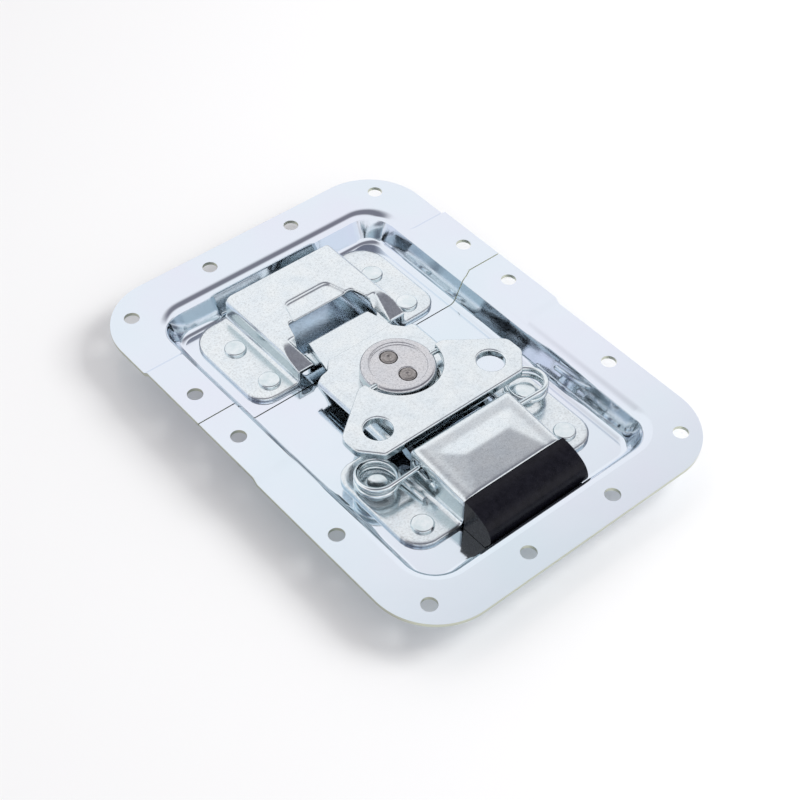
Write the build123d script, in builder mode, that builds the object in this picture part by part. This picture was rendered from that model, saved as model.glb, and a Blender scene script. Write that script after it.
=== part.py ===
from build123d import *
from math import atan2, cos, radians, sin, tan
import os

# Recessed butterfly latch for a flight case.
# X runs across the latch, +Y towards the lid half, +Z out of the recess.
# The origin lies under the middle of the dish, on the plane of the rivet tails.

# --- driving dimensions, mm -------------------------------------------------------------
DISH_WIDTH, DISH_LENGTH, DISH_CORNER = 126.4, 172.4, 22.0
SHEET = 1.2                    # dish sheet
PLATE = 1.5                    # keeper and bracket sheet
HOOK_PLATE = 2.0               # hook and carrier plate
WING_PLATE = 2.9

RECESS_DEPTH = 10.1            # flange face down to the floor of the dish
TAIL = 1.1                     # rivet tail under the floor
FACE_Z = RECESS_DEPTH + SHEET + TAIL
FLOOR_Z = FACE_Z - RECESS_DEPTH
FLOOR_HALF_X, FLOOR_HALF_Y, FLOOR_CORNER = 43.0, 65.3, 6.5
WALL_ANGLE = 24.0              # lean of the recess wall from upright
RIM_BEND, FLOOR_BEND = 4.0, 2.5

PAD_RISE = 1.6                 # side pads stand proud over the case extrusion
PAD_Y0, PAD_Y1, PAD_RUN = -6.7, 49.4, 2.0
PAD_X, PAD_BEVEL = 49.5, 1.0   # inner edge of a pad and the run of its bevel
PAD_ROOT = 0.7                 # how far a pad is carried down into the rolled rim
PARTING_Y, PARTING_GAP = 21.3, 0.4

SCREW_HOLE = 2.6               # radius
END_HOLES = (17.4, 79.0)
CORNER_HOLES = (52.1, 74.7)
SIDE_HOLES_X = 56.7
SIDE_HOLES_Y = (32.3, 9.4, -38.6)

RIVET_R, RIVET_HEAD_R, RIVET_HEAD, RIVET_TAIL_R = 2.3, 3.75, 0.95, 3.4
RIVET_EDGE = 0.6               # rounding of a rivet head
POST_COLLAR = 1.6
FIT = 0.05                     # radial play of a rivet or pin in its hole
FOOT_Z = FLOOR_Z + PLATE       # upper face of the keeper's and the bracket's feet

KEEPER_HALF, KEEPER_BEND = 22.6, 2.6
KEEPER_Y0, KEEPER_Y1, KEEPER_FOOT_HALF = 23.4, 63.5, 38.6
KEEPER_RIVETS = (29.4, 30.2, 48.8)
KEEPER_CREST, KEEPER_CREST_BEND = 33.5, 8.0
ARM_Y, ARM_DROP = 22.3, 4.0    # where an arm has sloped down to, and by how much
STRIKE_Z = FACE_Z - 4.7        # upper face of the strike bar
STRIKE_HALF, STRIKE_Y0, STRIKE_Y1 = 15.6, 31.8, 29.3
STRIKE_LEAN = 31.0             # lean of the slopes beside the strike bar
WINDOW_Y = 40.8
PANEL_Y, PANEL_SINK = 48.6, 0.8

BRACKET_HALF, BRACKET_BEND, BRACKET_NOSE = 20.3, 2.8, 2.5
BRACKET_Y0, BRACKET_Y1 = -54.2, -13.2
CROWN_Y0, CROWN_Y1 = -54.0, -29.0
CROWN_Z0, CROWN_Z1 = FACE_Z + 2.15, FACE_Z + 4.5   # rear and front of the sloping crown
CROWN_SLOPE = (CROWN_Z1 - CROWN_Z0) / (CROWN_Y1 - CROWN_Y0)
BRACKET_FOOT_HALF = 38.6
BRACKET_RIVET = (29.9, -46.6)
LIP_DROP = 2.5                 # how far the bracket's front edge turns down
PLATEAU_Y, PLATEAU_SLOPE = -41.5, 0.154
PLATEAU_Z = FACE_Z + 4.25      # its front crease
PLATEAU_HALF, PLATEAU_SPREAD = 8.8, 0.432
FLANK_Y, FLANK_HALF = -33.2, 17.5
FLANK_ROOT = 0.4               # how far the flanks are carried down into the crown

COIL_X, COIL_Y, COIL_R, WIRE_R = 31.2, -26.7, 6.5, 0.9
COIL_START = 5.0               # leans the tail leg towards the wall
COIL_TURNS = 2.75 - COIL_START / 360
COIL_Z0, COIL_TOP = FOOT_Z + WIRE_R + 0.75, FACE_Z - 1.8
COIL_PITCH = (COIL_TOP - COIL_Z0) / COIL_TURNS
LEG_REACH, TAIL_LEG = 14.0, 14.0
LEG_SLOT_Y, LEG_SLOT_Z = -34.2, FACE_Z - 1.9
LEG_SLOT, LEG_SLOT_HEIGHT, LEG_SLOT_TILT = 7.4, 2.9, 12.0

PIVOT_Y, PIVOT_Z, PIVOT_R = -40.2, FACE_Z - 3.6, 1.5
EYE_R = 2.5

HUB_Y, HUB_R = 0.5, 12.45
HUB_Z0, HUB_Z1 = FACE_Z - 0.5, FACE_Z + 4.25
DIAL_R, DIAL_DEPTH = 9.5, 0.7
THROW, CAM_R = 2.5, 9.6
CAM_Z0 = FACE_Z - 2.85
BEARING_R, BEARING_Z0 = 7.6, FACE_Z - 5.45
WASHER_R, WASHER_T = 9.6, 1.2
DRIVE_PITCH, DRIVE_R, DRIVE_HEAD_R, DRIVE_HEAD = 4.8, 1.4, 2.8, 1.0
DRIVE_PROUD, DRIVE_TAIL, DIMPLE_R = 0.15, 0.9, 0.7

HOOK_TOP = FACE_Z - 0.8
HOOK_HALF, HOOK_BEND, HOOK_DROP = 21.3, 3.2, 3.4
HOOK_Y0, HOOK_STEP_Y, HOOK_TIP_Y = -22.3, 19.7, 32.3
TONGUE_DROP = 1.6
LIP_Z = FACE_Z - 8.1
SLOT_HALF_Y, SLOT_SHIFT = 10.35, 2.1

CARRIER_TOP = FACE_Z - 3.15
CARRIER_HALF, CARRIER_Y0, CARRIER_Y1 = 18.9, -23.9, 14.0
TAIL_HALF = 17.0
CHEEK_TOP = PIVOT_Z - 0.2
HORN_Y0, HORN_Y1, HORN_TOP, HORN_X = -35.9, -34.15, FACE_Z - 1.0, 18.4

WING_Z0 = FACE_Z + 2.35
WING_AXIS_Y, WING_AXIS_Z = -2.0, FACE_Z + 3.25
WING_PIN_R, WING_PIN_X0, WING_PIN_X1 = 0.9, 10.4, 17.6
KNUCKLE_X0, KNUCKLE_LENGTH, KNUCKLE_R = 14.4, 4.0, 1.5
WING_HALF, WING_REAR = 34.7, -27.2
WING_CUT_R, WING_HOLE = 14.5, (23.4, -17.6, 4.65)

CAP_HALF, CAP_Y1, CAP_LEAN = 20.4, -54.1, 0.7
CAP_TOP, CAP_BOTTOM = FACE_Z + 2.0, FLOOR_Z + 0.2
CAP_GROOVE_X, CAP_GROOVE, CAP_GROOVE_DEPTH = 16.5, 0.7, 0.35
SPIGOT, SPIGOT_HEIGHT = 4.0, 6.6

os.makedirs("parts", exist_ok=True)


def finish(part, label):
    """Names a finished piece and writes it to its own file."""
    part.label = label
    export_step(part, f"parts/{label}.step")


# --- dish: one pressing, cut into a lid half and a body half -----------------------------
def pad_plan(side, sink, height):
    """Rectangle of one side pad at a height above the flange face, for a sheet face sunk by sink."""
    ease_x = sink * tan(atan2(PAD_RISE, PAD_BEVEL) / 2) - (PAD_RISE - height) * PAD_BEVEL / PAD_RISE
    ease_y = sink * tan(atan2(PAD_RISE, PAD_RUN) / 2) - (PAD_RISE - height) * PAD_RUN / PAD_RISE
    inner, outer = side * (PAD_X + ease_x), side * (DISH_WIDTH / 2 + 2)
    with BuildSketch(mode=Mode.PRIVATE) as plan:
        with Locations(((inner + outer) / 2, (PAD_Y0 + PAD_Y1) / 2)):
            Rectangle(abs(outer - inner), PAD_Y1 - PAD_Y0 - 2 * ease_y)
    return Pos(0, 0, FACE_Z - sink + height) * plan.sketch


def dish_form(sink):
    """Everything below the pressed surface, moved down by sink along the sheet's normal."""
    face = FACE_Z - sink
    lean = radians(WALL_ANGLE)
    spread = sink * (1 - sin(lean)) / cos(lean)
    with BuildPart() as form:
        with Locations((0, 0, -sink)):
            Box(
                DISH_WIDTH + 8, DISH_LENGTH + 8, FACE_Z, align=(Align.CENTER, Align.CENTER, Align.MIN)
            )
        with BuildSketch(Plane.XY.offset(FLOOR_Z - sink)):
            RectangleRounded(
                2 * (FLOOR_HALF_X + spread), 2 * (FLOOR_HALF_Y + spread), FLOOR_CORNER + spread
            )
        extrude(amount=RECESS_DEPTH + 2, taper=-WALL_ANGLE, mode=Mode.SUBTRACT)
        fresh = form.edges(Select.LAST)
        fillet(fresh.filter_by(lambda e: e.bounding_box().min.Z > face - 0.1), RIM_BEND - sink)
        low = form.edges().filter_by(
            lambda e: abs(e.bounding_box().max.Z - FLOOR_Z + sink) < 0.01
            and abs(e.bounding_box().min.Z - FLOOR_Z + sink) < 0.01
        )
        fillet(low, FLOOR_BEND + sink)
        for side in (-1, 1):
            loft((pad_plan(side, sink, -PAD_ROOT), pad_plan(side, sink, PAD_RISE)), ruled=True)
    return form.part


def rivet_spots():
    """Centres of every rivet through the floor of the dish."""
    x, y0, y1 = KEEPER_RIVETS
    right = [(x, y0), (x, y1), BRACKET_RIVET, (COIL_X, COIL_Y)]
    return right + [(-px, py) for px, py in right]


with BuildPart() as dish:
    add(dish_form(0))
    add(dish_form(SHEET), mode=Mode.SUBTRACT)
    with BuildSketch(Plane.XY.offset(-1)):
        RectangleRounded(DISH_WIDTH, DISH_LENGTH, DISH_CORNER)
    extrude(amount=FACE_Z + PAD_RISE + 2, mode=Mode.INTERSECT)
    with BuildSketch(Plane.XY.offset(-1)):
        for x, y in (END_HOLES, CORNER_HOLES):
            with GridLocations(2 * x, 2 * y, 2, 2):
                Circle(SCREW_HOLE)
        for y in SIDE_HOLES_Y:
            with Locations((-SIDE_HOLES_X, y), (SIDE_HOLES_X, y)):
                Circle(SCREW_HOLE)
        with Locations(*rivet_spots()):
            Circle(RIVET_R + FIT)
    extrude(amount=FACE_Z + PAD_RISE + 2, mode=Mode.SUBTRACT)

with BuildPart() as lid_dish:
    add(dish.part)
    split(bisect_by=Plane(origin=(0, PARTING_Y + PARTING_GAP / 2, 0), z_dir=(0, 1, 0)))
finish(lid_dish.part, "lid_dish")

with BuildPart() as body_dish:
    add(dish.part)
    split(bisect_by=Plane(origin=(0, PARTING_Y - PARTING_GAP / 2, 0), z_dir=(0, -1, 0)))
finish(body_dish.part, "body_dish")


# --- hat-section pressings: keeper on the lid half, bracket on the body half ---------------
def hat_form(half, bend, top, foot_half, y0, y1, sink):
    """Solid below a top-hat pressing that runs along Y, moved inwards by sink."""
    wall, crown, sole = half - sink, top - sink, FOOT_Z - sink
    reach = foot_half + 2 + sink
    with BuildPart() as form:
        with BuildSketch(Plane.XZ.offset(-y1 - sink)) as section:
            with BuildLine():
                Polyline(
                    (-reach, -sink), (-reach, sole), (-wall, sole), (-wall, crown),
                    (wall, crown), (wall, sole), (reach, sole), (reach, -sink), close=True,
                )
            make_face()
            corners = section.vertices()
            fillet(corners.filter_by(lambda v: abs(v.Y - crown) < 0.01), bend - sink)
            knees = section.vertices().filter_by(
                lambda v: abs(v.Y - sole) < 0.01 and abs(abs(v.X) - wall) < 0.01
            )
            fillet(knees, PLATE + sink)
        extrude(amount=y1 - y0 + 2 * sink)
    return form.part


def keeper_form(sink):
    """The keeper's pressed surface: arms that slope down to the parting, and the strike bar."""
    top = FACE_Z - sink
    with BuildPart() as form:
        add(hat_form(KEEPER_HALF, KEEPER_BEND, FACE_Z, KEEPER_FOOT_HALF, ARM_Y - 2, KEEPER_Y1 + 2, sink))
        with BuildSketch(Plane.YZ) as side:
            with BuildLine():
                Polyline(
                    (ARM_Y - 4, -2), (ARM_Y - 4, top - ARM_DROP - 1), (ARM_Y, top - ARM_DROP),
                    (KEEPER_CREST, top), (KEEPER_Y1 + 5, top), (KEEPER_Y1 + 5, -2), close=True,
                )
            make_face()
            crest = side.vertices().filter_by(lambda v: abs(v.X - KEEPER_CREST) < 0.01)
            fillet(crest, KEEPER_CREST_BEND)
        extrude(amount=FLOOR_HALF_X + 2, both=True, mode=Mode.INTERSECT)
        with BuildSketch(Plane.XY.offset(STRIKE_Z - sink)):
            with Locations((0, STRIKE_Y0)):
                Rectangle(
                    2 * STRIKE_HALF + sink, STRIKE_Y0 - ARM_Y + 12, align=(Align.CENTER, Align.MAX)
                )
        extrude(amount=9, taper=-STRIKE_LEAN, mode=Mode.SUBTRACT)
    return form.part


with BuildPart() as keeper:
    add(keeper_form(0))
    add(keeper_form(PLATE), mode=Mode.SUBTRACT)
    # plan outline with round corners to the feet
    with BuildSketch(Plane.XY) as plan:
        with Locations((0, (KEEPER_Y0 + KEEPER_Y1) / 2)):
            Rectangle(2 * KEEPER_FOOT_HALF, KEEPER_Y1 - KEEPER_Y0)
        fillet(plan.vertices().group_by(Axis.Y)[0], 7.0)
        fillet(plan.vertices().group_by(Axis.Y)[-1], 10.0)
    extrude(amount=FACE_Z + 1, mode=Mode.INTERSECT)
    # window that takes the lip of the hook
    with BuildSketch(Plane.XY.offset(FLOOR_Z)) as window:
        with BuildLine():
            Polyline(
                (-15.4, STRIKE_Y1), (-15.8, 32.8), (-13.4, WINDOW_Y), (13.4, WINDOW_Y), (15.8, 32.8),
                (15.4, STRIKE_Y1), close=True,
            )
        make_face()
        fillet(window.vertices().group_by(Axis.Y)[-1], 1.0)
    extrude(amount=RECESS_DEPTH + 1, mode=Mode.SUBTRACT)
    # shallow sunk panel behind the window
    with BuildSketch(Plane.XY.offset(FACE_Z - PANEL_SINK)) as panel:
        with BuildLine():
            Polyline((-11.2, 40.0), (-8.6, PANEL_Y), (8.6, PANEL_Y), (11.2, 40.0), close=True)
        make_face()
        fillet(panel.vertices().group_by(Axis.Y)[-1], 2.5)
    extrude(amount=2, taper=-30, mode=Mode.SUBTRACT)
    with BuildSketch(Plane.XY.offset(FOOT_Z - PLATE - 1)):
        x, y0, y1 = KEEPER_RIVETS
        with Locations((x, y0), (x, y1), (-x, y0), (-x, y1)):
            Circle(RIVET_R + FIT)
    extrude(amount=4, mode=Mode.SUBTRACT)
finish(keeper.part, "keeper")


def slope_plane(y, z, slope):
    """Plane through a point of the middle line that falls towards the rear."""
    return Plane(origin=(0, y, z), x_dir=(1, 0, 0), z_dir=(0, -slope, 1))


def crown_form(sink):
    """Solid under the sloping crown: rolled long edges and a rolled front edge."""
    front, rear, low = CROWN_Y1 - sink, BRACKET_Y0 - 5, FOOT_Z - sink - 0.1
    front_z = CROWN_Z1 - CROWN_SLOPE * sink - sink
    rear_z = front_z - CROWN_SLOPE * (front - rear)
    wall = BRACKET_HALF - sink
    with BuildPart() as crown:
        with BuildSketch(Plane.YZ) as side:
            with BuildLine():
                Polyline((rear, low), (rear, rear_z), (front, front_z), (front, low), close=True)
            make_face()
            nose = side.vertices().filter_by(lambda v: v.Y > front_z - 0.01)
            fillet(nose, BRACKET_NOSE - sink)
        extrude(amount=BRACKET_HALF + 2, both=True)
        # the cross section runs down the slope
        with BuildSketch(Plane.XZ.offset(-front)) as section:
            with BuildLine():
                Polyline((-wall, 0), (-wall, front_z), (wall, front_z), (wall, 0), close=True)
            make_face()
            fillet(section.vertices().group_by(Axis.Y)[-1], BRACKET_BEND - sink)
        run = front - rear
        extrude(
            amount=run * (1 + CROWN_SLOPE ** 2) ** 0.5, dir=(0, -1, -CROWN_SLOPE), mode=Mode.INTERSECT
        )
    return crown.part


def bracket_form(sink):
    """The bracket's pressed surface: feet, sloping crown and the plateau raised out of it."""
    sole, front, rear = FOOT_Z - sink, CROWN_Y1 - sink, BRACKET_Y0 - 5
    with BuildPart() as form:
        add(hat_form(BRACKET_HALF, BRACKET_BEND, FACE_Z - 2, BRACKET_FOOT_HALF, rear, BRACKET_Y1 + 5, sink))
        with BuildSketch(Plane.YZ):
            with BuildLine():
                Polyline(
                    (rear - 4, -2), (rear - 4, FACE_Z), (front, FACE_Z), (front, sole),
                    (BRACKET_Y1 + 9, sole), (BRACKET_Y1 + 9, -2), close=True,
                )
            make_face()
        extrude(amount=FLOOR_HALF_X + 2, both=True, mode=Mode.INTERSECT)
        add(crown_form(sink))
        base = CROWN_Z1 - CROWN_SLOPE * (CROWN_Y1 - FLANK_Y) - sink - FLANK_ROOT
        length = FLANK_Y - rear
        with BuildSketch(slope_plane(FLANK_Y, base, CROWN_SLOPE)):
            with BuildLine():
                Polyline(
                    (-FLANK_HALF, -length), (-FLANK_HALF, 0), (FLANK_HALF, 0), (FLANK_HALF, -length),
                    close=True,
                )
            make_face()
        length = PLATEAU_Y - rear
        spread = PLATEAU_HALF + PLATEAU_SPREAD * length
        with BuildSketch(slope_plane(PLATEAU_Y, PLATEAU_Z - sink, PLATEAU_SLOPE)):
            with BuildLine():
                Polyline(
                    (-spread, -length), (-PLATEAU_HALF, 0), (PLATEAU_HALF, 0), (spread, -length),
                    close=True,
                )
            make_face()
        loft(ruled=True)
    return form.part


with BuildPart() as latch_bracket:
    add(bracket_form(0))
    add(bracket_form(PLATE), mode=Mode.SUBTRACT)
    # plan outline: feet reach forward of the crown to carry the springs
    with BuildSketch(Plane.XY) as plan:
        with Locations((0, (BRACKET_Y0 + BRACKET_Y1) / 2)):
            Rectangle(2 * BRACKET_FOOT_HALF, BRACKET_Y1 - BRACKET_Y0)
        fillet(plan.vertices().group_by(Axis.Y)[0], 8.6)
        fillet(plan.vertices().group_by(Axis.Y)[-1], 7.0)
        with Locations((0, BRACKET_Y1)):
            Rectangle(2 * (BRACKET_HALF + 2 * PLATE), 2 * (BRACKET_Y1 - CROWN_Y1), mode=Mode.SUBTRACT)
        with Locations((0, BRACKET_Y0)):
            Rectangle(2 * BRACKET_HALF, 2 * (CROWN_Y0 - BRACKET_Y0), mode=Mode.SUBTRACT)
    extrude(amount=CROWN_Z1 + 2, mode=Mode.INTERSECT)
    # mouth under the front edge, where the carrier comes out
    with BuildSketch(Plane.XZ.offset(-CROWN_Y1 - 1)):
        with Locations((0, CROWN_Z1 - LIP_DROP)):
            Rectangle(2 * (BRACKET_HALF - PLATE), CROWN_Z1, align=(Align.CENTER, Align.MAX))
    extrude(amount=PLATE + 2, mode=Mode.SUBTRACT)
    # slots that let the spring legs in, and the holes of the hinge pin
    with BuildSketch(Plane.YZ):
        with Locations((LEG_SLOT_Y, LEG_SLOT_Z)):
            SlotOverall(LEG_SLOT, LEG_SLOT_HEIGHT, rotation=LEG_SLOT_TILT)
        with Locations((PIVOT_Y, PIVOT_Z)):
            Circle(PIVOT_R + FIT)
    extrude(amount=BRACKET_HALF + 3, both=True, mode=Mode.SUBTRACT)
    with BuildSketch(Plane.XY):
        for x, y in (BRACKET_RIVET, (COIL_X, COIL_Y)):
            with Locations((-x, y), (x, y)):
                Circle(RIVET_R + FIT)
    extrude(amount=FOOT_Z + 1, mode=Mode.SUBTRACT)
finish(latch_bracket.part, "latch_bracket")


# --- rivets and springs ---------------------------------------------------------------------
def rivet(x, y, collar=0.0):
    """A flat-headed rivet set through a foot and the floor; a collar lifts the head in a spring."""
    head_z = FOOT_Z + collar + RIVET_HEAD
    with BuildPart() as one:
        with BuildSketch(Plane.XZ) as section:
            with BuildLine():
                Polyline(
                    (0, head_z), (0, FLOOR_Z - SHEET - TAIL), (RIVET_TAIL_R, FLOOR_Z - SHEET - TAIL),
                    (RIVET_TAIL_R, FLOOR_Z - SHEET), (RIVET_R, FLOOR_Z - SHEET), (RIVET_R, FOOT_Z),
                    (RIVET_HEAD_R, FOOT_Z), (RIVET_HEAD_R, head_z), close=True,
                )
            make_face()
            fillet(section.vertices().filter_by(lambda v: v.X > 1 and v.Y > head_z - 0.01), RIVET_EDGE)
        revolve(axis=Axis.Z)
    return Pos(x, y, 0) * one.part


keeper_x, keeper_y0, keeper_y1 = KEEPER_RIVETS
with BuildPart() as keeper_rivets:
    for x in (-keeper_x, keeper_x):
        for y in (keeper_y0, keeper_y1):
            add(rivet(x, y))
finish(keeper_rivets.part, "keeper_rivets")

with BuildPart() as bracket_rivets:
    for x in (-BRACKET_RIVET[0], BRACKET_RIVET[0]):
        add(rivet(x, BRACKET_RIVET[1]))
finish(bracket_rivets.part, "bracket_rivets")

with BuildPart() as spring_posts:
    for x in (-COIL_X, COIL_X):
        add(rivet(x, COIL_Y, collar=POST_COLLAR))
finish(spring_posts.part, "spring_posts")


def torsion_spring():
    """Left-hand spring: tail leg along the bracket wall, coil, and a leg that enters the slot."""
    with BuildPart() as spring:
        with BuildLine(Plane(origin=(-COIL_X, COIL_Y, COIL_Z0))) as wire:
            coil = Helix(pitch=COIL_PITCH, height=COIL_PITCH * COIL_TURNS, radius=COIL_R)
            tail = Line((coil @ 0) - (coil % 0) * TAIL_LEG, coil @ 0)
            Line(coil @ 1, (coil @ 1) + (coil % 1) * LEG_REACH)
        path = wire.wires()[0]
        with BuildSketch(Plane(origin=path @ 0, z_dir=path % 0)):
            Circle(WIRE_R)
        sweep(path=path, is_frenet=True)
    return spring.part.rotate(Axis((-COIL_X, COIL_Y, 0), (0, 0, 1)), COIL_START)


with BuildPart() as spring_left:
    add(torsion_spring())
finish(spring_left.part, "spring_left")

with BuildPart() as spring_right:
    mirror(torsion_spring(), about=Plane.YZ)
finish(spring_right.part, "spring_right")


# --- hinge of the carrier -------------------------------------------------------------------
with BuildPart() as hinge_pin:
    with BuildSketch(Plane.YZ):
        with Locations((PIVOT_Y, PIVOT_Z)):
            Circle(PIVOT_R)
    extrude(amount=BRACKET_HALF + 0.8, both=True)
    chamfer(hinge_pin.edges(), 0.3)
finish(hinge_pin.part, "hinge_pin")

with BuildPart() as carrier:
    with BuildSketch(Plane.XY.offset(CARRIER_TOP - HOOK_PLATE)) as web:
        with BuildLine():
            Polyline(
                (-TAIL_HALF, CARRIER_Y0), (-TAIL_HALF, -21.5), (-CARRIER_HALF, -19.6),
                (-CARRIER_HALF, CARRIER_Y1), (CARRIER_HALF, CARRIER_Y1), (CARRIER_HALF, -19.6),
                (TAIL_HALF, -21.5), (TAIL_HALF, CARRIER_Y0), close=True,
            )
        make_face()
        fillet(web.vertices().group_by(Axis.Y)[-1], 2.0)
        with Locations((0, HUB_Y)):
            Circle(BEARING_R + FIT, mode=Mode.SUBTRACT)
    extrude(amount=HOOK_PLATE)
    # two cheeks run back to the hinge pin
    for x in (-TAIL_HALF, TAIL_HALF - HOOK_PLATE):
        with BuildSketch(Plane.YZ.offset(x)):
            with Locations((PIVOT_Y, PIVOT_Z)):
                Circle(EYE_R)
            with BuildLine():
                Polyline(
                    (-17.0, CARRIER_TOP), (CARRIER_Y0, CARRIER_TOP), (-25.4, CHEEK_TOP),
                    (PIVOT_Y, CHEEK_TOP), (PIVOT_Y, PIVOT_Z - EYE_R), (-24.0, PIVOT_Z - 3.6), close=True,
                )
            make_face()
            with Locations((PIVOT_Y, PIVOT_Z)):
                Circle(PIVOT_R + FIT, mode=Mode.SUBTRACT)
        extrude(amount=HOOK_PLATE)
    # horns, bent outwards, that the spring legs push
    for side in (-1, 1):
        with BuildSketch(Plane.YZ.offset(side * HORN_X)):
            with Locations(((HORN_Y0 + HORN_Y1) / 2, HORN_TOP)):
                Rectangle(HORN_Y1 - HORN_Y0, HORN_TOP - CHEEK_TOP + 0.5, align=(Align.CENTER, Align.MAX))
        extrude(amount=side * (TAIL_HALF - HOOK_PLATE - HORN_X))
finish(carrier.part, "carrier")


# --- cam: hub, eccentric, bearing and washer, riveted together ---------------------------------
def drive_spots():
    """Centres of the two rivets that drive the cam."""
    return [(0, HUB_Y - DRIVE_PITCH), (0, HUB_Y + DRIVE_PITCH)]


with BuildPart() as hub:
    with BuildSketch(Plane.XY.offset(HUB_Z0)):
        with Locations((0, HUB_Y)):
            Circle(HUB_R)
    extrude(amount=HUB_Z1 - HUB_Z0)
    fillet(hub.edges().group_by(Axis.Z)[-1], 1.3)
    with BuildSketch(Plane.XY.offset(HUB_Z1 - DIAL_DEPTH)):
        with Locations((0, HUB_Y)):
            Circle(DIAL_R)
    extrude(amount=DIAL_DEPTH, mode=Mode.SUBTRACT)
    fillet(hub.edges().group_by(Axis.Z)[-1], 0.3)
    # counterbored seats of the drive rivets
    with BuildSketch(Plane.XY.offset(HUB_Z1 - DIAL_DEPTH - DRIVE_HEAD)):
        with Locations(*drive_spots()):
            Circle(DRIVE_HEAD_R + 0.15)
    extrude(amount=DRIVE_HEAD + 0.5, mode=Mode.SUBTRACT)
    with BuildSketch(Plane.XY.offset(HUB_Z0 - 1)):
        with Locations(*drive_spots()):
            Circle(DRIVE_R + FIT)
    extrude(amount=HUB_Z1 - HUB_Z0 + 2, mode=Mode.SUBTRACT)
    # blind holes for the two wing pins
    for side in (-1, 1):
        with BuildSketch(Plane.YZ.offset(side * WING_PIN_X0)):
            with Locations((WING_AXIS_Y, WING_AXIS_Z)):
                Circle(WING_PIN_R)
        extrude(amount=side * HUB_R, mode=Mode.SUBTRACT)
finish(hub.part, "hub")


def drive_plate(radius, centre_y, bottom, top):
    """A round plate of the cam with the two holes of the drive rivets."""
    with BuildPart() as plate:
        with BuildSketch(Plane.XY.offset(bottom)):
            with Locations((0, centre_y)):
                Circle(radius)
            with Locations(*drive_spots()):
                Circle(DRIVE_R + FIT, mode=Mode.SUBTRACT)
        extrude(amount=top - bottom)
        chamfer(plate.edges().group_by(Axis.Z)[0].filter_by(lambda e: e.radius > 5), 0.3)
    return plate.part


with BuildPart() as cam_disc:
    add(drive_plate(CAM_R, HUB_Y - THROW, CAM_Z0, HUB_Z0))
finish(cam_disc.part, "cam_disc")

with BuildPart() as bearing_disc:
    add(drive_plate(BEARING_R, HUB_Y, BEARING_Z0, CAM_Z0))
finish(bearing_disc.part, "bearing_disc")

with BuildPart() as retaining_washer:
    add(drive_plate(WASHER_R, HUB_Y, BEARING_Z0 - WASHER_T, BEARING_Z0))
finish(retaining_washer.part, "retaining_washer")

with BuildPart() as drive_rivets:
    head_z, heel_z = HUB_Z1 - DIAL_DEPTH, BEARING_Z0 - WASHER_T
    with BuildSketch(Plane.XY.offset(head_z - DRIVE_HEAD)):
        with Locations(*drive_spots()):
            Circle(DRIVE_HEAD_R)
    extrude(amount=DRIVE_HEAD + DRIVE_PROUD)
    fillet(drive_rivets.edges().group_by(Axis.Z)[-1], 0.25)
    with BuildSketch(Plane.XY.offset(heel_z)):
        with Locations(*drive_spots()):
            Circle(DRIVE_R)
    extrude(amount=head_z - heel_z - DRIVE_HEAD)
    with BuildSketch(Plane.XY.offset(heel_z)):
        with Locations(*drive_spots()):
            Circle(DRIVE_R + 0.8)
    extrude(amount=-DRIVE_TAIL)
    # centre dimples left by the riveting tool
    with BuildSketch(Plane.XY.offset(head_z + DRIVE_PROUD)):
        with Locations(*drive_spots()):
            Circle(DIMPLE_R)
    extrude(amount=-DIMPLE_R / 2, taper=35, mode=Mode.SUBTRACT)
finish(drive_rivets.part, "drive_rivets")


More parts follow.
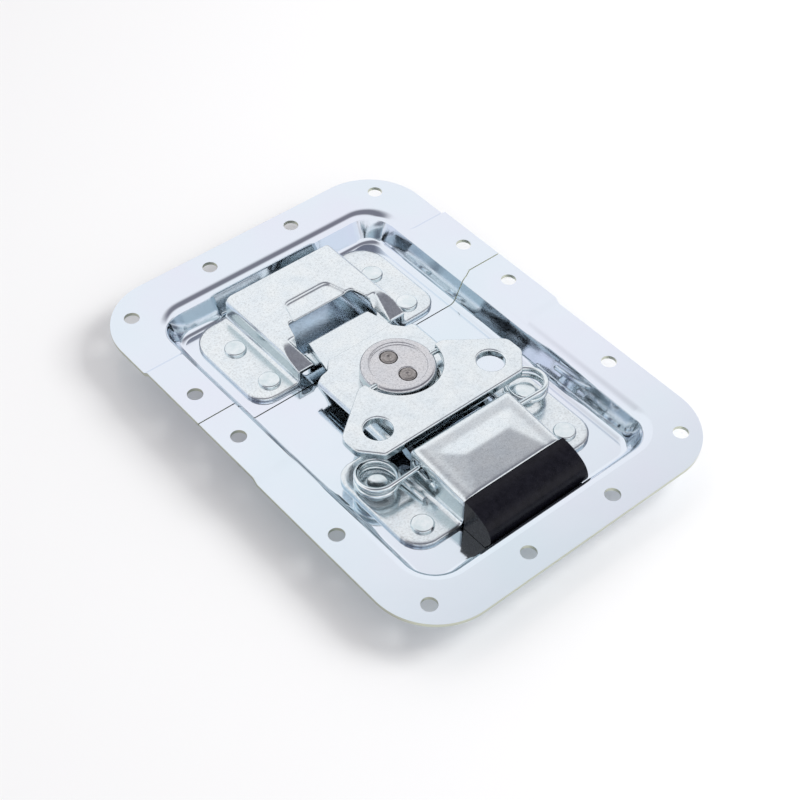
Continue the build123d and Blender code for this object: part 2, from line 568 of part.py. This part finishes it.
# --- hook -----------------------------------------------------------------------------------------
with BuildPart() as hook_plate:
    # channel section with rolled-down sides, its front corners cut
    with BuildSketch(Plane.XZ.offset(-HOOK_STEP_Y)) as channel:
        with BuildLine():
            Polyline(
                (-HOOK_HALF, HOOK_TOP - HOOK_DROP), (-HOOK_HALF, HOOK_TOP), (HOOK_HALF, HOOK_TOP),
                (HOOK_HALF, HOOK_TOP - HOOK_DROP), (HOOK_HALF - HOOK_PLATE, HOOK_TOP - HOOK_DROP),
                (HOOK_HALF - HOOK_PLATE, HOOK_TOP - HOOK_PLATE),
                (HOOK_PLATE - HOOK_HALF, HOOK_TOP - HOOK_PLATE),
                (HOOK_PLATE - HOOK_HALF, HOOK_TOP - HOOK_DROP), close=True,
            )
        make_face()
        fillet(channel.vertices().group_by(Axis.Y)[-1], HOOK_BEND)
        fillet(channel.vertices().group_by(Axis.Y)[1], HOOK_BEND - HOOK_PLATE)
    extrude(amount=HOOK_STEP_Y - HOOK_Y0)
    with BuildSketch(Plane.XY.offset(HOOK_TOP - HOOK_DROP - 1)):
        with BuildLine():
            Polyline(
                (-HOOK_HALF, HOOK_Y0), (-HOOK_HALF, 15.4), (-16.4, 16.2), (-13.2, HOOK_STEP_Y),
                (13.2, HOOK_STEP_Y), (16.4, 16.2), (HOOK_HALF, 15.4), (HOOK_HALF, HOOK_Y0), close=True,
            )
        make_face()
    extrude(amount=HOOK_DROP + 2, mode=Mode.INTERSECT)
    # tongue, one step lower, and the lip that turns down behind the strike bar
    tongue_top = HOOK_TOP - TONGUE_DROP
    with BuildPart(mode=Mode.PRIVATE) as tongue:
        with BuildSketch(Plane.YZ) as side:
            with BuildLine():
                Polyline(
                    (14.5, tongue_top - HOOK_PLATE), (14.5, tongue_top), (HOOK_TIP_Y, tongue_top),
                    (HOOK_TIP_Y, LIP_Z), (HOOK_TIP_Y - HOOK_PLATE, LIP_Z),
                    (HOOK_TIP_Y - HOOK_PLATE, tongue_top - HOOK_PLATE), close=True,
                )
            make_face()
            fillet(side.vertices().filter_by(lambda v: v.X == HOOK_TIP_Y and v.Y > LIP_Z + 1), 2.3)
        extrude(amount=HOOK_HALF, both=True)
        with BuildSketch(Plane.XY.offset(LIP_Z - 1)):
            with BuildLine():
                Polyline(
                    (-16.4, 14.5), (-14.8, 20.0), (-12.2, 32.6), (12.2, 32.6), (14.8, 20.0),
                    (16.4, 14.5), close=True,
                )
            make_face()
        extrude(amount=RECESS_DEPTH, mode=Mode.INTERSECT)
    add(tongue.part)
    # slot that the cam disc works in
    with BuildSketch(Plane.XY.offset(HOOK_TOP - HOOK_PLATE - 1)):
        with Locations((0, HUB_Y - THROW)):
            SlotCenterToCenter(2 * SLOT_SHIFT, 2 * SLOT_HALF_Y)
    extrude(amount=HOOK_PLATE + 2, mode=Mode.SUBTRACT)
finish(hook_plate.part, "hook_plate")


# --- wing -----------------------------------------------------------------------------------------
with BuildPart() as wing:
    with BuildSketch(Plane.XY.offset(WING_Z0)) as plan:
        with BuildLine():
            Polyline(
                (-28.4, WING_REAR), (-WING_HALF, -20.3), (-WING_HALF, -13.4), (-17.4, -0.5),
                (17.4, -0.5), (WING_HALF, -13.4), (WING_HALF, -20.3), (28.4, WING_REAR), close=True,
            )
        make_face()
        fillet(plan.vertices().filter_by(lambda v: abs(v.X) > WING_HALF - 0.01), 4.0)
        fillet(plan.vertices().filter_by(lambda v: abs(v.Y + 0.5) < 0.01), 2.4)
        fillet(plan.vertices().group_by(Axis.Y)[0], 1.5)
        with Locations((0, HUB_Y)):
            Circle(WING_CUT_R, mode=Mode.SUBTRACT)
        with Locations(WING_HOLE[:2], (-WING_HOLE[0], WING_HOLE[1])):
            Circle(WING_HOLE[2], mode=Mode.SUBTRACT)
    extrude(amount=WING_PLATE)
    fillet(wing.edges().group_by(Axis.Z)[-1], 0.5)
    # knuckles round the wing pins at the ends of the ears
    for side in (-1, 1):
        with BuildSketch(Plane.YZ.offset(side * KNUCKLE_X0)):
            with Locations((WING_AXIS_Y, WING_AXIS_Z)):
                Circle(KNUCKLE_R)
        extrude(amount=side * KNUCKLE_LENGTH)
        with BuildSketch(Plane.YZ.offset(side * HUB_R)):
            with Locations((WING_AXIS_Y, WING_AXIS_Z)):
                Circle(WING_PIN_R + FIT)
        extrude(amount=side * (WING_PIN_X1 - HUB_R + 0.2), mode=Mode.SUBTRACT)
finish(wing.part, "wing")

with BuildPart() as wing_pins:
    for side in (-1, 1):
        with BuildSketch(Plane.YZ.offset(side * WING_PIN_X0)):
            with Locations((WING_AXIS_Y, WING_AXIS_Z)):
                Circle(WING_PIN_R)
        extrude(amount=side * (WING_PIN_X1 - WING_PIN_X0))
finish(wing_pins.part, "wing_pins")


# --- end cap on the rear of the bracket --------------------------------------------------------------
with BuildPart() as end_cap:
    shoulder, heel = (CAP_Y1 - 1.9, CAP_TOP - 0.18), (-64.2, CAP_BOTTOM)
    with BuildSketch(Plane.YZ) as section:
        with BuildLine():
            Polyline(heel, (CAP_Y1 - CAP_LEAN, CAP_BOTTOM), (CAP_Y1, CAP_TOP), shoulder)
            Spline(
                shoulder, (-61.2, FACE_Z + 0.4), (-64.9, FACE_Z - 2.0), (-66.35, FACE_Z - 5.8), heel,
                tangents=((-1, -CROWN_SLOPE), (1, -2)),
            )
        make_face()
    extrude(amount=CAP_HALF, both=True)
    # shallow groove round each end
    for x in (-CAP_GROOVE_X, CAP_GROOVE_X - CAP_GROOVE):
        with BuildSketch(Plane.YZ.offset(x)):
            add(section.sketch)
            offset(section.sketch, amount=-CAP_GROOVE_DEPTH, mode=Mode.SUBTRACT)
        extrude(amount=CAP_GROOVE, mode=Mode.SUBTRACT)
    # spigot that plugs into the end of the bracket
    with BuildSketch(Plane.XZ.offset(-CAP_Y1 + CAP_LEAN)) as spigot:
        with Locations((0, CROWN_Z0 - PLATE - 0.25)):
            Rectangle(2 * (BRACKET_HALF - PLATE) - 0.4, SPIGOT_HEIGHT, align=(Align.CENTER, Align.MAX))
        fillet(spigot.vertices(), BRACKET_BEND - PLATE + 0.2)
    extrude(amount=-SPIGOT)
finish(end_cap.part, "end_cap")
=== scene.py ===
from math import cos, radians, sin

import bmesh
import bpy
from mathutils import Matrix, Vector


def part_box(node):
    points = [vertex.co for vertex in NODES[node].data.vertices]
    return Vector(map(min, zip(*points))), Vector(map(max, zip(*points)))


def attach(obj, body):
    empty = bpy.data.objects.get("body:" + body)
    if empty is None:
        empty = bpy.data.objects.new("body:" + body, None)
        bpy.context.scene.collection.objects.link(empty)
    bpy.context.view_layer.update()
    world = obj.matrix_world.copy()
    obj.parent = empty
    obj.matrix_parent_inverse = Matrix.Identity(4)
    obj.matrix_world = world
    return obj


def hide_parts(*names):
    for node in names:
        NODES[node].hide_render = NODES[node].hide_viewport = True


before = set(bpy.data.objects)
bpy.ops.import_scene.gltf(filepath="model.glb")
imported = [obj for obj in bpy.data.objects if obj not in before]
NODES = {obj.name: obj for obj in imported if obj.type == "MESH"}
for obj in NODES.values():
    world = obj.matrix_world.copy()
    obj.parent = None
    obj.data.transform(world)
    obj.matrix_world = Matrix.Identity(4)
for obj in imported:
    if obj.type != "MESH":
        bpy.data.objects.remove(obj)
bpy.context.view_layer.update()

MM = 0.001


def add_object(name, data):
    """Links new data into the scene, with its place in the data itself."""
    made = bpy.data.objects.new(name, data)
    bpy.context.scene.collection.objects.link(made)
    return made


# --- camera and lamp ------------------------------------------------------------------------
CAMERA_TARGET = Vector((-7.2, -9.0, 12.4)) * MM
CAMERA_DISTANCE = 0.5171
CAMERA_AZIMUTH, CAMERA_ELEVATION, CAMERA_ROLL = radians(-41.98), radians(46.77), radians(2.23)
LENS, SENSOR = 73.63, 36.0
NEAREST, FARTHEST = 0.01, 20.0
KEY_PLACE, KEY_SIZE, KEY_POWER = (0.6, -0.35, 0.65), 0.45, 5.5


def add_camera():
    """The camera looks down on the latch from the front left, held a little tilted."""
    data = bpy.data.cameras.new("camera")
    data.lens, data.sensor_width = LENS, SENSOR
    data.clip_start, data.clip_end = NEAREST, FARTHEST
    camera = add_object("camera", data)
    out = Vector((
        sin(CAMERA_AZIMUTH) * cos(CAMERA_ELEVATION),
        -cos(CAMERA_AZIMUTH) * cos(CAMERA_ELEVATION),
        sin(CAMERA_ELEVATION),
    ))
    camera.location = CAMERA_TARGET + out * CAMERA_DISTANCE
    turn = out.to_track_quat("Z", "Y").to_matrix().to_4x4()
    roll = Matrix.Rotation(CAMERA_ROLL, 4, "Z")
    camera.matrix_world = Matrix.Translation(camera.location) @ turn @ roll
    bpy.context.scene.camera = camera


def add_lamp(name, place, size, power):
    """A soft square lamp aimed at the latch; bright metal doesn't mirror it."""
    data = bpy.data.lights.new(name, "AREA")
    data.shape, data.size, data.energy = "SQUARE", size, power
    lamp = add_object(name, data)
    lamp.location = place
    lamp.rotation_euler = (Vector((0, 0, 0)) - Vector(place)).to_track_quat("-Z", "Y").to_euler()
    lamp.visible_glossy = False


# --- node tools -----------------------------------------------------------------------------
class Mat:
    """A small builder for one material's nodes."""

    def __init__(self, name):
        self.mat = bpy.data.materials.new(name)
        self.mat.use_nodes = True
        self.tree = self.mat.node_tree
        self.bsdf = self.tree.nodes["Principled BSDF"]
        self.coords = self.tree.nodes.new("ShaderNodeTexCoord").outputs["Object"]

    def node(self, kind, **values):
        made = self.tree.nodes.new("ShaderNode" + kind)
        for key, value in values.items():
            setattr(made, key, value)
        return made

    def link(self, source, target):
        self.tree.links.new(source, target)

    def finish(self, **sockets):
        """Links outputs to the shader's own sockets."""
        for name, source in sockets.items():
            self.link(source, self.bsdf.inputs[name.replace("_", " ")])
        return self.mat

    def noise(self, cells, detail=3.0, stretch=(1, 1, 1), rough=0.55):
        """Noise on the object's own coordinates, in cells per metre."""
        mapping = self.node("Mapping")
        mapping.inputs["Scale"].default_value = stretch
        self.link(self.coords, mapping.inputs["Vector"])
        tex = self.node("TexNoise")
        tex.inputs["Scale"].default_value = cells
        tex.inputs["Detail"].default_value = detail
        tex.inputs["Roughness"].default_value = rough
        self.link(mapping.outputs["Vector"], tex.inputs["Vector"])
        return tex.outputs["Fac"]

    def ramp(self, fac, stops):
        """Colour ramp from (position, colour) stops; a bare number is a grey."""
        ramp = self.node("ValToRGB")
        while len(ramp.color_ramp.elements) < len(stops):
            ramp.color_ramp.elements.new(1.0)
        for element, (position, colour) in zip(ramp.color_ramp.elements, stops):
            element.position = position
            if not hasattr(colour, "__len__"):
                colour = (colour, colour, colour)
            element.color = (*colour, 1)
        self.link(fac, ramp.inputs["Fac"])
        return ramp.outputs["Color"]

    def bump(self, height, strength, distance, over=None):
        """Relief of a height, laid over coarser relief where that is given."""
        made = self.node("Bump")
        made.inputs["Strength"].default_value = strength
        made.inputs["Distance"].default_value = distance
        self.link(height, made.inputs["Height"])
        if over is not None:
            self.link(over, made.inputs["Normal"])
        return made.outputs["Normal"]


# --- finishes -------------------------------------------------------------------------------
EDGE_UPRIGHT, EDGE_GONE = 0.03, 0.06        # share of the face's normal that points up or down


def cut_edge(m, surface, raw):
    """Mixes the raw colour of a sheared edge into the plated faces, by the normal of the face."""
    split = m.node("SeparateXYZ")
    m.link(m.node("TexCoord").outputs["Normal"], split.inputs[0])
    upright = m.node("Math", operation="ABSOLUTE")
    m.link(split.outputs["Z"], upright.inputs[0])
    mask = m.ramp(upright.outputs[0], [(EDGE_UPRIGHT, 1.0), (EDGE_GONE, 0.0)])
    mix = m.node("Mix", data_type="RGBA")
    m.link(mask, mix.inputs["Factor"])
    m.link(surface, mix.inputs["A"])
    mix.inputs["B"].default_value = (*raw, 1)
    return mix.outputs["Result"]


def bright_zinc():
    """Rolled sheet with bright blue-tinted plating, nearly a mirror."""
    m = Mat("bright_zinc")
    m.bsdf.inputs["Metallic"].default_value = 1.0
    tint = m.ramp(m.noise(cells=16.0, detail=3.0), [
        (0.34, (0.75, 0.845, 0.91)),
        (0.5, (0.78, 0.85, 0.92)),
        (0.66, (0.79, 0.825, 0.915)),
    ])
    colour = cut_edge(m, tint, raw=(0.58, 0.60, 0.50))
    gloss = m.ramp(m.noise(cells=160.0, detail=5.0), [(0.35, 0.055), (0.7, 0.11)])
    waves = m.bump(m.noise(cells=45.0, detail=2.0), strength=0.10, distance=0.0004)
    rolled = m.noise(cells=900.0, detail=4.0, stretch=(1, 0.12, 1))
    relief = m.bump(rolled, strength=0.08, distance=0.00004, over=waves)
    return m.finish(Base_Color=colour, Roughness=gloss, Normal=relief)


CLOUD_DARK = (0.91, 0.94, 0.97)             # the mottling's darker end, as a share of the tint
MIDDLE_SHARE = 0.7                          # where the grain's middle tone lies, dark to light


def satin_zinc(name="satin_zinc", dark=0.70, light=0.97, tint=(0.93, 0.985, 1.0)):
    """Thicker plate with satin plating: fine sparkle, faint mottling and small handling marks."""
    m = Mat(name)
    m.bsdf.inputs["Metallic"].default_value = 1.0
    middle_tone = dark + MIDDLE_SHARE * (light - dark)
    fine = m.ramp(m.noise(cells=1500.0, detail=6.0, rough=0.75),
                  [(0.32, dark), (0.48, middle_tone), (0.68, light)])
    shaded = tuple(share * part for share, part in zip(CLOUD_DARK, tint))
    cloud = m.ramp(m.noise(cells=150.0, detail=5.0), [(0.3, shaded), (0.7, tint)])
    both = m.node("Mix", data_type="RGBA", blend_type="MULTIPLY")
    both.inputs["Factor"].default_value = 1.0
    m.link(fine, both.inputs["A"])
    m.link(cloud, both.inputs["B"])
    colour = cut_edge(m, both.outputs["Result"], raw=(0.54, 0.63, 0.66))
    gloss = m.ramp(m.noise(cells=420.0, detail=6.0, rough=0.7), [(0.3, 0.13), (0.7, 0.26)])
    dents = m.bump(m.noise(cells=260.0, detail=3.0), strength=0.14, distance=0.0002)
    grain = m.noise(cells=1900.0, detail=5.0)
    relief = m.bump(grain, strength=0.20, distance=0.00005, over=dents)
    return m.finish(Base_Color=colour, Roughness=gloss, Normal=relief)


def bright_steel():
    """Bright plated wire and rivets."""
    m = Mat("bright_steel")
    m.bsdf.inputs["Metallic"].default_value = 1.0
    tint = m.ramp(m.noise(cells=300.0), [(0.3, (0.66, 0.76, 0.79)), (0.7, (0.85, 0.90, 0.92))])
    gloss = m.ramp(m.noise(cells=900.0), [(0.3, 0.07), (0.7, 0.17)])
    relief = m.bump(m.noise(cells=1500.0), strength=0.10, distance=0.00004)
    return m.finish(Base_Color=tint, Roughness=gloss, Normal=relief)


def bare_pin_steel():
    """Riveted pin heads, bare and slightly brown."""
    m = Mat("bare_pin_steel")
    m.bsdf.inputs["Metallic"].default_value = 1.0
    tint = m.ramp(m.noise(cells=900.0, detail=5.0),
                  [(0.3, (0.26, 0.245, 0.235)), (0.7, (0.47, 0.45, 0.44))])
    m.bsdf.inputs["Roughness"].default_value = 0.40
    relief = m.bump(m.noise(cells=2200.0), strength=0.3, distance=0.00005)
    return m.finish(Base_Color=tint, Normal=relief)


def black_plastic():
    """Moulded black plastic with a fine grain."""
    m = Mat("black_plastic")
    tint = m.ramp(m.noise(cells=500.0, detail=5.0),
                  [(0.3, (0.003, 0.003, 0.006)), (0.7, (0.009, 0.009, 0.014))])
    m.bsdf.inputs["Specular IOR Level"].default_value = 0.2
    gloss = m.ramp(m.noise(cells=1200.0), [(0.3, 0.22), (0.7, 0.38)])
    relief = m.bump(m.noise(cells=2200.0, detail=4.0), strength=0.45, distance=0.00010)
    return m.finish(Base_Color=tint, Roughness=gloss, Normal=relief)


# --- pressed and turned pieces --------------------------------------------------------------
TOUCHING = 1e-7                             # metres: corners this close are one corner
PRESSED, PLATE, TURNED = 0.36, 0.28, 0.2    # millimetres: how finely each kind is remeshed


def dress(material, *names):
    """Gives CAD nodes their finish."""
    for name in names:
        slots = NODES[name].data.materials
        slots.clear()
        slots.append(material)


def merged_copy(node):
    """A CAD node's loose triangles, joined into one skin."""
    bm = bmesh.new()
    bm.from_mesh(NODES[node].data)
    bmesh.ops.remove_doubles(bm, verts=bm.verts, dist=TOUCHING)
    data = bpy.data.meshes.new(node + "_merged")
    bm.to_mesh(data)
    bm.free()
    return data


def soften(name, node, body, material, voxel, rounds):
    """A piece in place of a CAD node: the same form with its bends and rims rounded off."""
    joined = merged_copy(node)
    piece = add_object(name, joined)
    remesh = piece.modifiers.new("remesh", "REMESH")
    remesh.mode, remesh.voxel_size, remesh.adaptivity = "VOXEL", voxel * MM, 0.0
    smooth = piece.modifiers.new("smooth", "SMOOTH")
    smooth.factor, smooth.iterations = 0.5, rounds
    bpy.context.view_layer.update()
    finished = piece.evaluated_get(bpy.context.evaluated_depsgraph_get())
    shape = bpy.data.meshes.new_from_object(finished)
    piece.modifiers.clear()
    piece.data = shape
    bpy.data.meshes.remove(joined)
    shape.name = name
    shape.materials.clear()
    shape.materials.append(material)
    shape.polygons.foreach_set("use_smooth", [True] * len(shape.polygons))
    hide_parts(node)
    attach(piece, body)


zinc, plate, steel = bright_zinc(), satin_zinc(), bright_steel()
bare, black = bare_pin_steel(), black_plastic()
dial = satin_zinc("dial_zinc", dark=0.43, light=0.82, tint=(0.97, 0.97, 0.99))
dress(zinc, "lid_dish", "body_dish")
dress(plate, "carrier")
dress(steel, "keeper_rivets", "bracket_rivets", "spring_posts", "hinge_pin",
      "cam_disc", "bearing_disc", "retaining_washer", "wing_pins")
dress(black, "end_cap")
soften("pressed_bracket", "latch_bracket", "case_dish", plate, PRESSED, rounds=24)
soften("pressed_keeper", "keeper", "case_dish", plate, PRESSED, rounds=6)
soften("wing_plate", "wing", "wing", plate, PLATE, rounds=4)
soften("hook_blade", "hook_plate", "hook", plate, PLATE, rounds=4)
soften("turning_hub", "hub", "cam", dial, TURNED, rounds=10)


DRIVE_CENTRES = ((0, -4.3), (0, 5.3))
HEAD_R, HEAD_STEPS = 2.7, 48
HEAD_PROFILE = (        # share of the radius, drop from the top
    (0.0, 0.24), (0.14, 0.22), (0.22, 0.02), (0.42, 0.0), (0.47, 0.07), (0.53, 0.0),
    (0.80, 0.02), (0.91, 0.10), (1.0, 0.35), (1.0, 1.1),
)
SAME_SPOT = 0.001       # millimetres, closes the pole of each head


def turn_heads():
    """The drive rivets' turned heads: a chamfered rim, two faint rings and a centre mark."""
    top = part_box("drive_rivets")[1].z / MM
    bm = bmesh.new()
    for x, y in DRIVE_CENTRES:
        verts = [bm.verts.new((x + share * HEAD_R, y, top - drop)) for share, drop in HEAD_PROFILE]
        edges = [bm.edges.new(pair) for pair in zip(verts, verts[1:])]
        bmesh.ops.spin(bm, geom=verts + edges, cent=(x, y, 0), axis=(0, 0, 1),
                       angle=radians(360), steps=HEAD_STEPS, use_merge=True)
    bmesh.ops.remove_doubles(bm, verts=bm.verts, dist=SAME_SPOT)
    bmesh.ops.scale(bm, vec=(MM, MM, MM), verts=bm.verts)
    bmesh.ops.recalc_face_normals(bm, faces=bm.faces)
    data = bpy.data.meshes.new("drive_heads")
    bm.to_mesh(data)
    bm.free()
    data.polygons.foreach_set("use_smooth", [True] * len(data.polygons))
    data.materials.append(bare)
    piece = add_object("drive_heads", data)
    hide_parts("drive_rivets")
    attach(piece, "cam")


turn_heads()


# --- springs --------------------------------------------------------------------------------
WIRE = 0.93                                 # radius of the wire
COIL_X, COIL_Y, COIL_R = 31.2, -26.7, 6.5
COIL_FIRST, COIL_LAST, COIL_STEP = 5, 630, 5    # degrees round the coil, from tail up to leg
LEG, LEG_SLOPE = 14.0, 0.05
WIRE_ROUNDNESS = 6


def wind_spring(name, node, side):
    """An open torsion spring round its post, with one leg into the bracket and a tail."""
    low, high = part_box(node)
    bottom = low.z / MM + WIRE + LEG * LEG_SLOPE
    top = high.z / MM - WIRE - LEG * LEG_SLOPE
    path = []
    for angle in range(COIL_FIRST, COIL_LAST + 1, COIL_STEP):
        share = (angle - COIL_FIRST) / (COIL_LAST - COIL_FIRST)
        turn = radians(angle)
        path.append(Vector((
            COIL_R * cos(turn) - COIL_X,
            COIL_R * sin(turn) + COIL_Y,
            bottom + share * (top - bottom),
        )))
    first, last = radians(COIL_FIRST), radians(COIL_LAST)
    into = Vector((sin(first), -cos(first), -LEG_SLOPE))
    away = Vector((-sin(last), cos(last), LEG_SLOPE))
    path = [path[0] + into * LEG, *path, path[-1] + away * LEG]
    data = bpy.data.curves.new(name, "CURVE")
    data.dimensions = "3D"
    data.bevel_depth, data.bevel_resolution, data.use_fill_caps = WIRE * MM, WIRE_ROUNDNESS, True
    spline = data.splines.new("POLY")
    spline.points.add(len(path) - 1)
    for point, place in zip(spline.points, path):
        point.co = (-side * place.x * MM, place.y * MM, place.z * MM, 1)
    data.materials.append(steel)
    piece = add_object(name, data)
    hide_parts(node)
    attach(piece, "case_dish")


wind_spring("coil_left", "spring_left", -1)
wind_spring("coil_right", "spring_right", 1)


# --- floor and surroundings -----------------------------------------------------------------
FLOOR_REACH = 3.0
FLOOR_COLOUR, FLOOR_ROUGHNESS = (0.94, 0.945, 0.935, 1), 0.12


def add_floor():
    """A wide glossy white floor that keeps the latch's soft shadow and a faint mirror image."""
    bm = bmesh.new()
    bmesh.ops.create_grid(bm, x_segments=1, y_segments=1, size=FLOOR_REACH)
    data = bpy.data.meshes.new("floor")
    bm.to_mesh(data)
    bm.free()
    floor = add_object("floor", data)
    m = Mat("floor_white")
    m.bsdf.inputs["Roughness"].default_value = FLOOR_ROUGHNESS
    m.bsdf.inputs["Base Color"].default_value = FLOOR_COLOUR
    data.materials.append(m.mat)


class Room:
    """The surroundings, painted by direction one soft patch over the other."""

    def __init__(self, level):
        self.world = bpy.data.worlds.new("room")
        bpy.context.scene.world = self.world
        self.world.use_nodes = True
        self.tree = self.world.node_tree
        self.way = self.tree.nodes.new("ShaderNodeTexCoord").outputs["Generated"]
        start = self.tree.nodes.new("ShaderNodeRGB")
        start.outputs[0].default_value = (*level, 1)
        self.colour = start.outputs[0]

    def share(self, vector, start, end):
        """How far a direction's part along a vector has passed from start to end."""
        nodes, links = self.tree.nodes, self.tree.links
        dot = nodes.new("ShaderNodeVectorMath")
        dot.operation = "DOT_PRODUCT"
        links.new(self.way, dot.inputs[0])
        dot.inputs[1].default_value = vector
        soft = nodes.new("ShaderNodeMapRange")
        soft.interpolation_type = "SMOOTHSTEP"
        links.new(dot.outputs["Value"], soft.inputs["Value"])
        soft.inputs["From Min"].default_value = min(start, end)
        soft.inputs["From Max"].default_value = max(start, end)
        soft.inputs["To Min"].default_value = 0.0 if start < end else 1.0
        soft.inputs["To Max"].default_value = 1.0 if start < end else 0.0
        return soft.outputs["Result"]

    def mix(self, factor, level):
        """The colour so far, with a level mixed in."""
        made = self.tree.nodes.new("ShaderNodeMix")
        made.data_type = "RGBA"
        self.tree.links.new(factor, made.inputs["Factor"])
        self.tree.links.new(self.colour, made.inputs["A"])
        made.inputs["B"].default_value = (*level, 1)
        return made.outputs["Result"]

    def patch(self, level, *bounds):
        """Blends a level in where every bound, a vector with its start and end, is passed."""
        shares = [self.share(*bound) for bound in bounds]
        product = shares[0]
        for share in shares[1:]:
            times = self.tree.nodes.new("ShaderNodeMath")
            times.operation = "MULTIPLY"
            self.tree.links.new(product, times.inputs[0])
            self.tree.links.new(share, times.inputs[1])
            product = times.outputs[0]
        self.colour = self.mix(product, level)

    def finish(self, backdrop):
        """The camera itself sees a plain pale backdrop past the floor."""
        camera_ray = self.tree.nodes.new("ShaderNodeLightPath").outputs["Is Camera Ray"]
        result = self.mix(camera_ray, backdrop)
        self.tree.links.new(result, self.tree.nodes["Background"].inputs["Color"])


UP = (0, 0, 1)
WALLS = (1.0, 0.985, 1.0)
CEILING = (0.23, 0.225, 0.26)
DARK_GAP = (0.05, 0.06, 0.08)
BACKDROP = (1.0, 1.0, 1.0)


def add_world():
    """A white room with a soft grey ceiling over the latch and a dark line at the skirting."""
    room = Room(WALLS)
    room.patch(CEILING, ((0, -1, 0.70), 0.0, 0.62), ((0, 1, 0.95), 0.0, 0.48), ((1, 0, 1.5), 0.0, 0.5))
    room.patch(DARK_GAP, (UP, 0.10, 0.02))
    room.finish(BACKDROP)


add_camera()
add_floor()
add_world()
add_lamp("key", KEY_PLACE, KEY_SIZE, KEY_POWER)
bpy.context.scene.view_settings.view_transform = "Standard"
